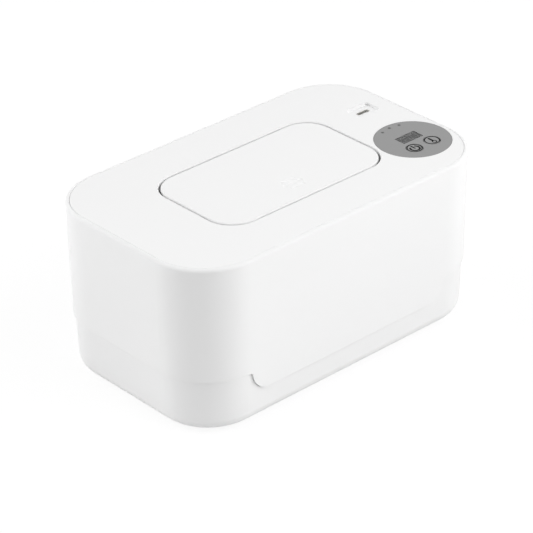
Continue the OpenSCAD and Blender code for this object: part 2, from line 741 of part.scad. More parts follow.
module heater_film() {
    color(copper) around(corner_x, corner_y)
        translate([liner_outer, film_z]) square([film_t, film_h]);
}

module insulation_foam() {
    color("#e8e6df") around(corner_x, corner_y)
        translate([film_outer, foam_z]) square([foam_t, foam_h]);
}

module liner_gasket() {
    lip_z = lip_top + run_gap;
    color(silicone_grey) around(corner_x, corner_y) polygon([
        [liner_outer, lip_z + 0.5], [lip_inner, lip_z], [lip_outer, lip_z],
        [flange_outer - run_gap, lip_z + 0.5], [flange_outer - run_gap, flange_z], [liner_outer, flange_z]]);
}

module assembly_screws() {
    color(steel) for (p = assembly_screw_places) translate([p[0], p[1], ceiling_under])
        pan_screw(screw_r, screw_len, screw_head_r, screw_head_h);
}

module board_screws() {
    color(steel) for (p = board_screw_places) translate([p[0], p[1], board_under])
        pan_screw(board_screw_r, board_screw_len, board_head_r, board_head_h);
}

module control_board() {
    color(board_green) difference() {
        translate([board_left, board_front, board_under]) plate(0, board_t)
            translate([board_w / 2, board_d / 2]) rounded(board_w, board_d, 1.5);
        for (p = board_screw_places) translate([p[0], p[1], board_under - 1])
            cylinder(r = board_screw_r + fit, h = board_t + 2);
    }
}

// The heater's switching transistor, the controller chip, an inductor and two capacitors,
// in one row between the indicator lights and the inlet
module board_components() {
    transistor = [6.5, 6, 2.3];
    chip = [5, 6.2, 1.6];
    inductor = [4, 2.4, 1.2];
    capacitor_r = 2.5;
    capacitor_h = 6;
    space = 1.4;
    row_y = (panel_y + light_ring + inlet_y) / 2;
    blocks = [transistor, chip, inductor];
    starts = [board_left + space, board_left + 2 * space + transistor[0],
              board_left + 3 * space + transistor[0] + chip[0]];
    color(black_plastic) {
        for (i = [0 : 2]) translate([starts[i], row_y - blocks[i][1] / 2, board_top]) cube(blocks[i]);
        for (i = [0, 1]) translate([starts[2] + inductor[0] + capacitor_r + space
                                    + i * (2 * capacitor_r + space), row_y, board_top])
            cylinder(r = capacitor_r, h = capacitor_h);
    }
}

module led_display() {
    margin = 0.5;
    color(black_plastic) translate([panel_x, panel_y + window_y, 0])
        plate(board_top, board_drop - run_gap)
            square([window_w + 2 * margin, window_d + 2 * margin], center = true);
}

module indicator_leds() {
    led = [1.6, 0.8, 0.8];
    color("#e9e4cf") for (p = light_places) translate([p[0] - led[0] / 2, p[1] - led[1] / 2, board_top])
        cube(led);
}

module light_pipes() {
    pipe_foot = board_top + 1.1;
    collar_r = light_r + 0.45;
    color("#6a6a6a") for (p = light_places) translate([p[0], p[1], 0]) {
        translate([0, 0, seat_z - weld]) cylinder(r = light_r, h = cover_t + weld, $fn = 24);
        translate([0, 0, pipe_foot]) cylinder(r = collar_r, h = seat_z - pipe_foot, $fn = 24);
    }
}

module switch_housings() {
    color(black_plastic) for (p = key_places) difference() {
        translate([p[0], p[1], 0]) plate(board_top, switch_h) rounded(switch_w, switch_w, 0.5);
        translate([p[0], p[1], stem_top - stem_len - key_travel - fit])
            cylinder(r = stem_r + fit, h = switch_h);
    }
}

module switch_stem(side) {
    p = key_places[side];
    color(black_plastic) translate([p[0], p[1], stem_top - stem_len]) cylinder(r = stem_r, h = stem_len);
}

module key(side) {
    p = key_places[side];
    color(panel_grey) translate([p[0], p[1], 0]) {
        rotate_extrude() polygon(concat(
            [[0, key_flange_top - key_flange_t], [key_flange_r, key_flange_top - key_flange_t],
             [key_flange_r, key_flange_top], [key_r, key_flange_top]],
            arc([key_r - edge_r, hood_top - edge_r], edge_r, 0, 90, 3), [[0, hood_top]]));
        translate([0, 0, stem_top]) cylinder(r = stem_r - 0.25, h = key_flange_top - stem_top - fit);
    }
}

module power_key() { key(0); }
module power_switch_stem() { switch_stem(0); }
module temperature_key() { key(1); }
module temperature_switch_stem() { switch_stem(1); }

module usb_c_shell() {
    height = inlet_floor - socket_bottom;
    inner_w = socket_w - 2 * socket_sheet;
    inner_d = socket_d - 2 * socket_sheet;
    color(steel) translate([inlet_x, inlet_y, 0]) difference() {
        plate(socket_bottom, height) rounded(socket_w, socket_d, socket_d / 2 - 0.01);
        plate(socket_bottom + 1, height) rounded(inner_w, inner_d, inner_d / 2 - 0.01);
    }
}

module usb_c_tongue() {
    tongue_w = 6.7;
    tongue_t = 0.7;
    tongue_down = 0.9;
    root = 2;
    color(socket_grey) translate([inlet_x, inlet_y, 0]) {
        plate(socket_bottom + 1, root) rounded(socket_w - 2 * socket_sheet, socket_d - 2 * socket_sheet,
                                               (socket_d - 2 * socket_sheet) / 2 - 0.01);
        plate(socket_bottom + 1 + root - weld, inlet_floor - socket_bottom - 1 - root - tongue_down + weld)
            square([tongue_w, tongue_t], center = true);
    }
}

module panel_disc() {
    color(panel_grey) difference() {
        translate([panel_x, panel_y, 0]) rotate_extrude($fn = 96) polygon(concat(
            [[0, panel_seat], [panel_r, panel_seat]],
            arc([panel_r - edge_r / 2, hood_top - edge_r / 2], edge_r / 2, 0, 90, 2), [[0, hood_top]]));
        translate([panel_x, panel_y + window_y, 0]) plate(panel_seat - 1, panel_t + 2)
            rounded(window_w, window_d, 0.6);
        for (p = key_places) translate([p[0], p[1], panel_seat - 1])
            cylinder(r = key_r + key_gap, h = panel_t + 2);
        for (p = light_places) translate([p[0], p[1], panel_seat - 1])
            cylinder(r = light_r + fit / 2, h = panel_t + 2, $fn = 24);
    }
}

module display_window() {
    color(mark_grey) translate([panel_x, panel_y + window_y, 0])
        plate(panel_seat, panel_t) rounded(window_w - fit, window_d - fit, 0.6);
}

module push_latch_case() {
    bore = plunger_w + 2 * run_gap;
    rim = 1;
    color(black_plastic) translate([0, latch_y, 0]) difference() {
        union() {
            plate(case_bottom, pocket_floor - case_bottom + weld) square(case_w, center = true);
            plate(pocket_floor, case_flange) rounded(case_w + 2 * rim, case_w + 2 * rim, rim);
        }
        plate(case_bottom + case_wall, far) square(bore, center = true);
    }
}

module push_latch_plunger() {
    slot = striker_w + 2 * run_gap;
    color(silicone_grey) translate([0, latch_y, 0]) difference() {
        plate(plunger_bottom, plunger_top - plunger_bottom) square(plunger_w, center = true);
        plate(plunger_top - jaw_h, jaw_h + 1) square([slot, plunger_w + 1], center = true);
    }
}

module hinge_pin() {
    color(steel) translate([-pin_half, hinge_y, hinge_z]) rotate([0, 90, 0])
        cylinder(r = pin_r, h = 2 * pin_half);
}

// The outline of an arm round the hinge axis: a hook from the flap's underside, and a spoke to the eye
module arm_outline() {
    circle(eye_r);
    translate([spoke_in, -hook_outer + arm_t / 2]) square([spoke_w, hook_outer - arm_t / 2]);
    intersection() {
        difference() {
            circle(hook_outer);
            circle(hook_inner);
        }
        union() {
            translate([-far, -far]) square([far + spoke_in + spoke_w, far]);
            translate([-far, -1]) square([far, flap_under - hinge_z + weld + 1]);
        }
    }
}

module flap_arm() {
    difference() {
        translate([-arm_w / 2, hinge_y, hinge_z]) rotate([90, 0, 90]) linear_extrude(arm_w) arm_outline();
        translate([-arm_w, hinge_y, hinge_z]) rotate([0, 90, 0]) cylinder(r = pin_r + pin_gap, h = 2 * arm_w);
    }
}

// A fingertip groove: the low side of a round-ended rod laid along X
module groove(length) {
    rod_r = groove_w * groove_w / (8 * groove_depth) + groove_depth / 2;
    half = (length - groove_w) / 2;
    translate([0, 0, hood_top - groove_depth + rod_r]) rotate([0, 90, 0])
        rotate_extrude() polygon(concat(arc([0, half], rod_r, 90, 0, 3 * edge_steps),
                                        arc([0, -half], rod_r, 0, -90, 3 * edge_steps)));
}

module flap() {
    striker_tip = plunger_top - jaw_h + run_gap;
    color(shell_white) difference() {
        union() {
            translate([0, flap_y, 0])
                soft_plate(flap_w / 2 - flap_r, flap_d / 2 - flap_r, flap_r, flap_under, flap_t,
                           flap_edge, flap_bevel);
            for (side = [-1, 1]) translate([side * arm_x, 0, 0]) flap_arm();
            translate([-striker_w / 2, latch_y - striker_d / 2, striker_tip])
                cube([striker_w, striker_d, flap_under - striker_tip + weld]);
        }
        for (i = [0 : 2]) translate([0, groove_y + (1 - i) * groove_pitch, 0]) groove(groove_lengths[i]);
    }
}

module flap_seal() {
    inset = (mouth_wall - seal_w) / 2;
    color(silicone_grey) plate(seal_z, flap_under - seal_z) difference() {
        mouth_plan(inset + seal_w);
        mouth_plan(inset);
    }
}

module thermistor() {
    color(black_plastic) translate([sensor_x, sensor_y, ceiling_top + sensor_r + fit])
        sphere(r = sensor_r, $fn = 24);
}

module thermal_fuse() {
    color(steel) translate([fuse_x, fuse_y, fuse_z]) rotate([90, 0, 0]) {
        cylinder(r = fuse_r, h = fuse_len, center = true);
        cylinder(r = 0.4, h = fuse_len + 2 * fuse_lead_len, center = true, $fn = 24);
    }
}

module heater_leads() {
    color("#b8443a") {
        lead(fuse_x, film_to_fuse, lead_r);
        lead(fuse_x, fuse_to_board, lead_r);
        lead(second_lead_x, film_to_board, lead_r);
        lead(sensor_x, sensor_to_board, sensor_lead_r);
    }
}

base_tray();
rubber_feet();
hood_shell();
top_cover();
inner_liner();
heater_film();
insulation_foam();
liner_gasket();
assembly_screws();
control_board();
board_components();
board_screws();
led_display();
indicator_leds();
light_pipes();
switch_housings();
usb_c_shell();
usb_c_tongue();
panel_disc();
display_window();
push_latch_case();
hinge_pin();
thermistor();
thermal_fuse();
heater_leads();
power_key();
power_switch_stem();
temperature_key();
temperature_switch_stem();
push_latch_plunger();
flap();
flap_seal();
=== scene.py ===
"""Looks of a baby wipe warmer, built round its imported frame.

Lengths are in metres, as in the frame, and MM turns millimetres into them.
The unit stands on z = 0 and its front looks along -Y.
"""

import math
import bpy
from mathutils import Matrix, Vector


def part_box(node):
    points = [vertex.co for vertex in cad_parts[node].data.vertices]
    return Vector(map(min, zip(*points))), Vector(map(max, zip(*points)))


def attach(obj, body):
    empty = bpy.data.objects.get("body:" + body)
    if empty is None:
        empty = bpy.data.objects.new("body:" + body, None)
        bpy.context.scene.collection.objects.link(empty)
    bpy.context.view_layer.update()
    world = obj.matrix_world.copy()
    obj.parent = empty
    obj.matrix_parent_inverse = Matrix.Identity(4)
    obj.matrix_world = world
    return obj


bl_info = {
    "name": "Wipe Warmer Looks",
    "version": (1, 0, 0),
    "blender": (4, 5, 0),
    "location": "3D View > Sidebar > Wipe Warmer",
    "description": "Finishes, printed marks, inner details, stage and lights of a baby wipe warmer",
    "category": "Object",
}

import bmesh
import bpy
from mathutils import Matrix, Vector

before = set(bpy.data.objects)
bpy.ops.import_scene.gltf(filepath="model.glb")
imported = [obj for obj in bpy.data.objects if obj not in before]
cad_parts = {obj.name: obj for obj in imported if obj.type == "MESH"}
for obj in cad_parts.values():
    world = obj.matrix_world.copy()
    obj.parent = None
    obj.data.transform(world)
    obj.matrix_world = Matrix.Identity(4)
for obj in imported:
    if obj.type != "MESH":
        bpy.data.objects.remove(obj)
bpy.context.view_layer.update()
MM = 0.001
# Faces that meet at a larger angle than this are shaded apart
SHARP_ANGLE = math.radians(35)


def linear(hex_colour):
    """A linear RGBA colour from an sRGB hex value."""
    channels = [int(hex_colour[i : i + 2], 16) / 255 for i in (1, 3, 5)]
    return (*(c / 12.92 if c <= 0.04045 else ((c + 0.055) / 1.055) ** 2.4 for c in channels), 1.0)


def per_metre(width_mm):
    """The texture scale that makes one pattern step this many millimetres wide."""
    return 1000 / width_mm


def darker(colour, share):
    """The same colour with a share of its light taken away."""
    return (*(channel * (1 - share) for channel in tuple(colour)[:3]), 1.0)


def colour_field(name, description, hex_colour):
    """A colour that the user can change, with its default as an sRGB hex value."""
    return bpy.props.FloatVectorProperty(
        name=name, description=description, subtype="COLOR", size=4, min=0, max=1,
        default=linear(hex_colour),
    )


def length_field(name, description, millimetres):
    """A length that the user can change, with its default in millimetres."""
    return bpy.props.FloatProperty(
        name=name, description=description, unit="LENGTH", min=0, precision=5,
        default=millimetres * MM,
    )


class WarmerColours(bpy.types.PropertyGroup):
    """Colours of the finishes and marks."""

    shell: colour_field("Hood white", "Moulded ABS of the hood, the cover and the flap", "#f3f3f3")
    # The same ABS as the hood, a step darker than its white: painted shade of the hood's overhang
    base: colour_field("Base white", "Moulded ABS of the base tray", "#f2f2f2")
    liner: colour_field("Liner grey", "Moulded polypropylene of the inner liner", "#dcdde0")
    panel: colour_field("Panel grey", "Moulded ABS of the round panel and its keys", "#8c8c8c")
    ink: colour_field("Mark grey", "Screen-printed rings and symbols on the keys", "#161616")
    window: colour_field("Window smoke", "Tint of the display window", "#9a9a9a")
    digit: colour_field("Digit grey", "Unlit strokes of the display", "#e6e8ea")
    pipe: colour_field("Light pipe smoke", "Tint of the three indicator lights", "#3c3c3c")
    latch: colour_field("Latch grey", "Acetal of the push latch", "#b9bbbe")
    silicone: colour_field("Silicone grey", "Gasket and flap seal", "#c9cccf")
    rubber: colour_field("Foot rubber", "Rubber of the four feet", "#3b3c3e")


class WarmerSizes(bpy.types.PropertyGroup):
    """Sizes of the printed and added details."""

    ink_height: length_field("Ink thickness", "How far a printed mark stands on its key", 0.03)
    ring_radius: length_field("Key ring radius", "Middle of the printed ring round a key", 4.05)
    ring_line: length_field("Key ring line", "Width of that ring's line", 0.6)
    power_radius: length_field("Power symbol radius", "Middle of the broken ring's line", 2.58)
    symbol_line: length_field("Symbol line", "Width of the power symbol's line", 1.1)
    bulb_radius: length_field("Bulb radius", "Outer radius of the thermometer's bulb", 1.5)
    digit_height: length_field("Digit height", "Height of a display digit", 5.0)
    digit_width: length_field("Digit width", "Width of a display digit", 2.9)
    digit_stroke: length_field("Digit stroke", "Width of a stroke of a digit", 0.62)
    contact_width: length_field("Contact width", "Width of a contact strip of the inlet", 0.25)
    contact_pitch: length_field("Contact pitch", "Spacing of the contact strips", 0.5)


class WarmerStudio(bpy.types.PropertyGroup):
    """Camera and light of the stage."""

    azimuth: bpy.props.FloatProperty(
        name="Azimuth", description="Camera's angle round the unit, 0 looks along +Y",
        subtype="ANGLE", default=math.radians(-41.974)
    )
    elevation: bpy.props.FloatProperty(
        name="Elevation", description="Camera's angle above the table",
        subtype="ANGLE", default=math.radians(30.139)
    )
    roll: bpy.props.FloatProperty(
        name="Roll", description="Camera's turn about its own line of sight",
        subtype="ANGLE", default=math.radians(-0.94)
    )
    distance: length_field("Distance", "From the camera to the point it looks at", 1461)
    target: bpy.props.FloatVectorProperty(
        name="Target", description="Point that the camera looks at", subtype="TRANSLATION",
        unit="LENGTH", default=(-10.79 * MM, -8.25 * MM, 49.35 * MM)
    )
    lens: bpy.props.FloatProperty(
        name="Lens", description="Focal length in mm of a 36 mm wide sensor", default=185.18
    )
    ambient: bpy.props.FloatProperty(
        name="Ambient", description="Strength of the even light from all round", min=0, default=0.45
    )
    dark_side: bpy.props.FloatProperty(
        name="Dark side", description="Share of the even light missing behind the camera",
        min=0, max=1, default=0.77
    )
    front_power: bpy.props.FloatProperty(
        name="Front lamp", description="Lamp at the front right", unit="POWER", min=0, default=16.4
    )
    back_power: bpy.props.FloatProperty(
        name="Back lamp", description="Lamp at the back left", unit="POWER", min=0, default=22.1
    )


# Finishes


def add_node(tree, kind, settings=None, links=None):
    """A node with its settings and links.

    A setting in small letters is an attribute; any other is a socket, by its name or number.
    """
    node = tree.nodes.new(kind)
    for name, value in (settings or {}).items():
        if isinstance(name, str) and name.islower():
            setattr(node, name, value)
        else:
            node.inputs[name].default_value = value
    for name, socket in (links or {}).items():
        tree.links.new(socket, node.inputs[name])
    return node


def surface(name, colour, roughness, settings, grain, drift, pattern=None):
    """A procedural finish: a grain in the bump and a slow drift in colour and roughness.

    grain is its width and height in mm, drift its width in mm and the share of light it takes.
    """
    finish = bpy.data.materials.get(name)
    if finish:
        return finish
    finish = bpy.data.materials.new(name)
    finish.use_nodes = True
    tree = finish.node_tree
    tree.nodes.clear()
    place = add_node(tree, "ShaderNodeTexCoord").outputs["Object"]
    slow = add_node(
        tree, "ShaderNodeTexNoise", {"Scale": per_metre(drift[0]), "Detail": 3.0},
        {"Vector": place},
    )
    tone = add_node(
        tree, "ShaderNodeMix", {"data_type": "RGBA", 6: darker(colour, drift[1]), 7: tuple(colour)},
        {0: slow.outputs["Fac"]},
    )
    # The share by which the roughness drifts to both sides
    spread = 0.12
    gloss = add_node(
        tree, "ShaderNodeMapRange",
        {"To Min": roughness * (1 - spread), "To Max": min(1.0, roughness * (1 + spread))},
        {"Value": slow.outputs["Fac"]},
    )
    fine = add_node(
        tree, "ShaderNodeTexNoise", {"Scale": per_metre(grain[0]), "Detail": 4.0},
        {"Vector": place},
    )
    relief = add_node(
        tree, "ShaderNodeBump", {"Distance": grain[1] * MM}, {"Height": fine.outputs["Fac"]}
    )
    shader = add_node(
        tree, "ShaderNodeBsdfPrincipled", settings,
        {"Base Color": tone.outputs[2], "Roughness": gloss.outputs["Result"],
         "Normal": relief.outputs["Normal"]},
    )
    add_node(tree, "ShaderNodeOutputMaterial", None, {"Surface": shader.outputs["BSDF"]})
    if pattern:
        pattern(tree, place, tone.outputs[2], shader)
    return finish


def lay_over(tree, tone, shader, share, hex_colour, height_mm, blend="MIX"):
    """Lays a colour over the tone where share is high, and raises it."""
    laid = add_node(
        tree, "ShaderNodeMix",
        {"data_type": "RGBA", "blend_type": blend, 7: linear(hex_colour)}, {0: share, 6: tone},
    )
    relief = add_node(tree, "ShaderNodeBump", {"Distance": height_mm * MM}, {"Height": share})
    tree.links.new(laid.outputs[2], shader.inputs["Base Color"])
    tree.links.new(relief.outputs["Normal"], shader.inputs["Normal"])


def foam_cells(tree, place, tone, shader):
    """Closed cells about 1.2 mm wide, with painted shade that darkens their hollows."""
    cells = add_node(tree, "ShaderNodeTexVoronoi", {"Scale": per_metre(1.2)}, {"Vector": place})
    # Painted shade: a darker colour multiplied in by the pattern of the cells
    lay_over(tree, tone, shader, cells.outputs["Distance"], "#c9c6bd", 0.25, "MULTIPLY")


def etched_track(tree, place, tone, shader):
    """Lanes of copper foil 2.2 mm apart, seen through the amber film."""
    foil_share = 0.62
    height = add_node(tree, "ShaderNodeSeparateXYZ", None, {"Vector": place}).outputs["Z"]
    lanes = add_node(
        tree, "ShaderNodeMath", {"operation": "MULTIPLY", 1: per_metre(2.2)}, {0: height}
    )
    across = add_node(tree, "ShaderNodeMath", {"operation": "FRACT"}, {0: lanes.outputs[0]})
    foil = add_node(
        tree, "ShaderNodeMath", {"operation": "LESS_THAN", 1: foil_share}, {0: across.outputs[0]}
    )
    lay_over(tree, tone, shader, foil.outputs[0], "#d58a3c", 0.05)


def copper_tracks(tree, place, tone, shader):
    """Tracks 0.3 mm wide under the solder mask, which shows them lighter and raised."""
    # The mortar between bricks of 3 x 1.5 mm makes the tracks
    lanes = add_node(
        tree, "ShaderNodeTexBrick",
        {"Scale": per_metre(6), "Mortar Size": 0.025, "Mortar Smooth": 0.2,
         "Color1": (0, 0, 0, 1), "Color2": (0, 0, 0, 1), "Mortar": (1, 1, 1, 1)},
        {"Vector": place},
    )
    lay_over(tree, tone, shader, lanes.outputs["Fac"], "#4f9268", 0.04)


def moulded_abs(name, colour):
    # Moulded ABS from a spark-eroded tool: satin, with no mirror image. The real grain is about
    # 0.3 mm wide, and it is drawn at 0.9 mm so that it shows.
    return surface(name, colour, 0.42, {"IOR": 1.53}, grain=(0.9, 0.010), drift=(45, 0.012))


def moulded_polypropylene(colour):
    # Polypropylene from a polished tool: waxy, a little light passes into it.
    return surface(
        "moulded_polypropylene_grey", colour, 0.33,
        {"IOR": 1.49, "Subsurface Weight": 0.08, "Subsurface Radius": (0.002, 0.002, 0.002)},
        grain=(4, 0.02), drift=(25, 0.03),
    )


def smoked_acrylic(colour):
    # Polished acrylic with a smoke tint: a sharp, dark mirror that lets the digits through faintly.
    return surface(
        "smoked_acrylic", colour, 0.04, {"IOR": 1.49, "Transmission Weight": 1.0},
        grain=(9, 0.002), drift=(12, 0.02),
    )


def smoked_polycarbonate(colour):
    # Polycarbonate light pipes with an eroded end: dull grey dots until they are lit.
    return surface(
        "smoked_polycarbonate", colour, 0.3, {"IOR": 1.585, "Transmission Weight": 0.25},
        grain=(0.35, 0.006), drift=(2, 0.04),
    )


def moulded_acetal(colour):
    # Acetal from a polished tool: dense and slippery, with a low even sheen.
    return surface(
        "moulded_acetal_grey", colour, 0.36, {"IOR": 1.48},
        grain=(0.8, 0.006), drift=(6, 0.03),
    )


def moulded_nylon():
    # Glass-filled nylon: black, with a faint rash of fibres at the surface.
    return surface(
        "moulded_nylon_black", linear("#2b2c2e"), 0.5, {"IOR": 1.53},
        grain=(0.35, 0.012), drift=(3, 0.12),
    )


def cast_epoxy(name, hex_colour, roughness):
    # Cast epoxy: a smooth skin with a slight drawn edge, glossy over whatever it holds.
    return surface(
        name, linear(hex_colour), roughness, {"IOR": 1.5},
        grain=(0.6, 0.004), drift=(2, 0.06),
    )


def moulded_insulator():
    # High-temperature plastic of a socket's tongue: dense, pale, with a dry sheen.
    return surface(
        "moulded_insulator_pale", linear("#f0f0ee"), 0.45, {"IOR": 1.6},
        grain=(0.3, 0.006), drift=(2, 0.06),
    )


def moulded_silicone(colour):
    # Silicone rubber: matt, soft and slightly see-through at its thin edges.
    return surface(
        "moulded_silicone_grey", colour, 0.55,
        {"IOR": 1.41, "Subsurface Weight": 0.15, "Subsurface Radius": (0.0012, 0.0012, 0.0012)},
        grain=(0.5, 0.008), drift=(10, 0.04),
    )


def moulded_rubber(colour):
    # Moulded rubber: matt, with a slightly chalky skin.
    return surface(
        "moulded_rubber", colour, 0.75, {"IOR": 1.52},
        grain=(0.5, 0.02), drift=(4, 0.12),
    )


def closed_cell_foam():
    # Cut foam: no shine at all, a field of small cells.
    return surface(
        "closed_cell_foam", linear("#e8e6df"), 0.95, {"IOR": 1.4},
        grain=(0.4, 0.05), drift=(20, 0.05), pattern=foam_cells,
    )


def polyimide_film():
    # Polyimide film laminated over foil: clear amber gloss with bright lanes below it.
    return surface(
        "polyimide_film", linear("#a9621f"), 0.22, {"IOR": 1.66},
        grain=(6, 0.02), drift=(15, 0.08), pattern=etched_track,
    )


def solder_mask():
    # Solder mask printed over glass-epoxy: green gloss with the tracks raised under it.
    return surface(
        "solder_mask_green", linear("#2f6b4a"), 0.3, {"IOR": 1.55},
        grain=(0.5, 0.006), drift=(8, 0.08), pattern=copper_tracks,
    )


def silicone_lead():
    # Extruded silicone insulation: a smooth, slightly waxy red skin.
    return surface(
        "extruded_silicone_red", linear("#b8443a"), 0.45, {"IOR": 1.41},
        grain=(0.8, 0.01), drift=(9, 0.08),
    )


def metal(name, hex_colour, roughness, grain, drift):
    """A bare or plated metal, which keeps the default IOR."""
    return surface(name, linear(hex_colour), roughness, {"Metallic": 1.0}, grain, drift)


def zinc_plate():
    # Bright zinc plate on steel: a cool grey shine broken by the wire's drawing marks.
    return metal("zinc_plated_steel", "#c4c6c9", 0.3, (0.3, 0.006), (1.5, 0.1))


def nickel_plate():
    # Nickel plate on drawn sheet: warmer and smoother than zinc.
    return metal("nickel_plated_steel", "#cfccc5", 0.24, (0.8, 0.003), (3, 0.06))


def satin_nickel():
    # Nickel over deep-drawn, tumbled sheet: a broad soft shine that fills the socket with light.
    return metal("satin_nickel_plate", "#ecebe8", 0.5, (0.3, 0.004), (2, 0.04))


def tin_plate():
    # Tinned copper and solder: soft silver, uneven where it wetted.
    return metal("tin_plated_copper", "#c9c9c6", 0.34, (0.5, 0.02), (1, 0.1))


def gold_flash():
    # Gold flash over nickel: thin, so a pale yellow.
    return metal("gold_flashed_contact", "#d8c79c", 0.26, (0.4, 0.002), (1, 0.06))


def rolled_aluminium():
    # Rolled aluminium of a capacitor's can: a pale, even shine.
    return metal("rolled_aluminium", "#c6c7c9", 0.32, (0.5, 0.003), (1.5, 0.08))


def diffusing_epoxy(colour):
    # Epoxy with a diffusing filler: pale and matt until it is lit from below.
    return surface(
        "diffusing_epoxy_grey", colour, 0.5, {"IOR": 1.5},
        grain=(1.0, 0.01), drift=(30.0, 0.02),
    )


def screen_ink(colour):
    # Screen-printed ink: flat and matt. Its pigment breaks the skin's shine, and the mesh that it
    # is pressed through leaves it uneven.
    return surface(
        "screen_printed_ink_grey", colour, 0.7, {"IOR": 1.48, "Specular IOR Level": 0.2},
        grain=(0.25, 0.004), drift=(0.8, 0.06),
    )


def dress(finish, *nodes):
    """Gives CAD nodes their finish."""
    for name in nodes:
        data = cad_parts[name].data
        data.materials.clear()
        data.materials.append(finish)


# Mesh building


def top_of(node):
    """The middle of a CAD node's top."""
    low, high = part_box(node)
    return Vector(((low.x + high.x) / 2, (low.y + high.y) / 2, high.z))


def arc(centre, radius, start, end, steps):
    """Points round a centre, with the angles in degrees from +X."""
    angles = [math.radians(start + (end - start) * i / steps) for i in range(steps + 1)]
    return [(centre[0] + radius * math.cos(a), centre[1] + radius * math.sin(a)) for a in angles]


def add_band(mesh, inner, outer, low, high, closed=False):
    """A flat band between two lines of points and two heights."""
    rows = [
        [mesh.verts.new((x, y, z)) for x, y in line]
        for line, z in ((inner, low), (outer, low), (outer, high), (inner, high))
    ]
    count = len(inner)
    for i in range(count if closed else count - 1):
        n = (i + 1) % count
        for a, b in zip(rows, rows[1:] + rows[:1]):
            mesh.faces.new((a[i], a[n], b[n], b[i]))
    if not closed:
        for i in (0, count - 1):
            mesh.faces.new([row[i] for row in rows])


def add_ring(mesh, centre, radius, line, low, high, steps=64):
    """A closed flat ring, with radius at the middle of its line."""
    circles = [arc(centre, radius + side * line / 2, 0, 360, steps)[:-1] for side in (-1, 1)]
    add_band(mesh, *circles, low, high, closed=True)


def add_prism(mesh, outline, low, high):
    """A flat plate with this outline between two heights."""
    under, over = ([mesh.verts.new((x, y, z)) for x, y in outline] for z in (low, high))
    mesh.faces.new(under)
    mesh.faces.new(over)
    for i in range(len(outline)):
        n = (i + 1) % len(outline)
        mesh.faces.new((under[i], under[n], over[n], over[i]))


def add_block(mesh, low, high, edge):
    """A block between two corners with rounded edges."""
    low, high = Vector(low), Vector(high)
    size = Matrix.Diagonal((*(high - low), 1))
    made = bmesh.ops.create_cube(mesh, size=1, matrix=Matrix.Translation((low + high) / 2) @ size)
    edges = {e for v in made["verts"] for e in v.link_edges}
    bmesh.ops.bevel(mesh, geom=list(edges), offset=edge, segments=2, profile=0.5, affect="EDGES")


def add_turned(mesh, profile, centre, steps):
    """A turned form from (radius, height) points round an upright axis."""
    rings = []
    for radius, height in profile:
        if radius == 0:
            rings.append([mesh.verts.new((centre[0], centre[1], height))] * steps)
        else:
            circle = arc(centre, radius, 0, 360, steps)[:-1]
            rings.append([mesh.verts.new((x, y, height)) for x, y in circle])
    for under, over in zip(rings, rings[1:]):
        for i in range(steps):
            n = (i + 1) % steps
            mesh.faces.new(list(dict.fromkeys((under[i], under[n], over[n], over[i]))))


def add_piece(name, mesh, finish, body):
    """Makes the mesh a piece with its finish, riding on a body."""
    old = bpy.data.objects.get(name)
    if old:
        bpy.data.objects.remove(old)
    if not mesh.faces:
        raise RuntimeError(f"{name} has no faces")
    bmesh.ops.recalc_face_normals(mesh, faces=mesh.faces)
    data = bpy.data.meshes.new(name)
    mesh.to_mesh(data)
    mesh.free()
    data.materials.append(finish)
    data.shade_smooth()
    data.set_sharp_from_angle(angle=SHARP_ANGLE)
    piece = bpy.data.objects.new(name, data)
    bpy.context.scene.collection.objects.link(piece)
    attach(piece, body)


class WIPE_WARMER_OT_moulded_shells(bpy.types.Operator):
    """Finishes the hood, the cover, the flap, the base tray and the liner"""

    bl_idname = "wipe_warmer.moulded_shells"
    bl_label = "Moulded shells"

    def execute(self, context):
        colours = context.scene.warmer_colours
        dress(moulded_abs("moulded_abs_white", colours.shell), "hood_shell", "top_cover", "flap")
        # The base tray's copy of the white ABS is a step darker: painted shade of the hood's
        # overhang
        dress(moulded_abs("moulded_abs_base_painted_shade", colours.base), "base_tray")
        dress(moulded_polypropylene(colours.liner), "inner_liner")
        return {"FINISHED"}


class WIPE_WARMER_OT_control_panel(bpy.types.Operator):
    """Finishes the round panel, its keys, its window and its light pipes"""

    bl_idname = "wipe_warmer.control_panel"
    bl_label = "Control panel"

    def execute(self, context):
        colours = context.scene.warmer_colours
        grey_abs = moulded_abs("moulded_abs_grey", colours.panel)
        dress(grey_abs, "panel_disc", "power_key", "temperature_key")
        dress(smoked_acrylic(colours.window), "display_window")
        dress(smoked_polycarbonate(colours.pipe), "light_pipes")
        dress(cast_epoxy("cast_epoxy_over_phosphor", "#e9e0b4", 0.2), "indicator_leds")
        return {"FINISHED"}


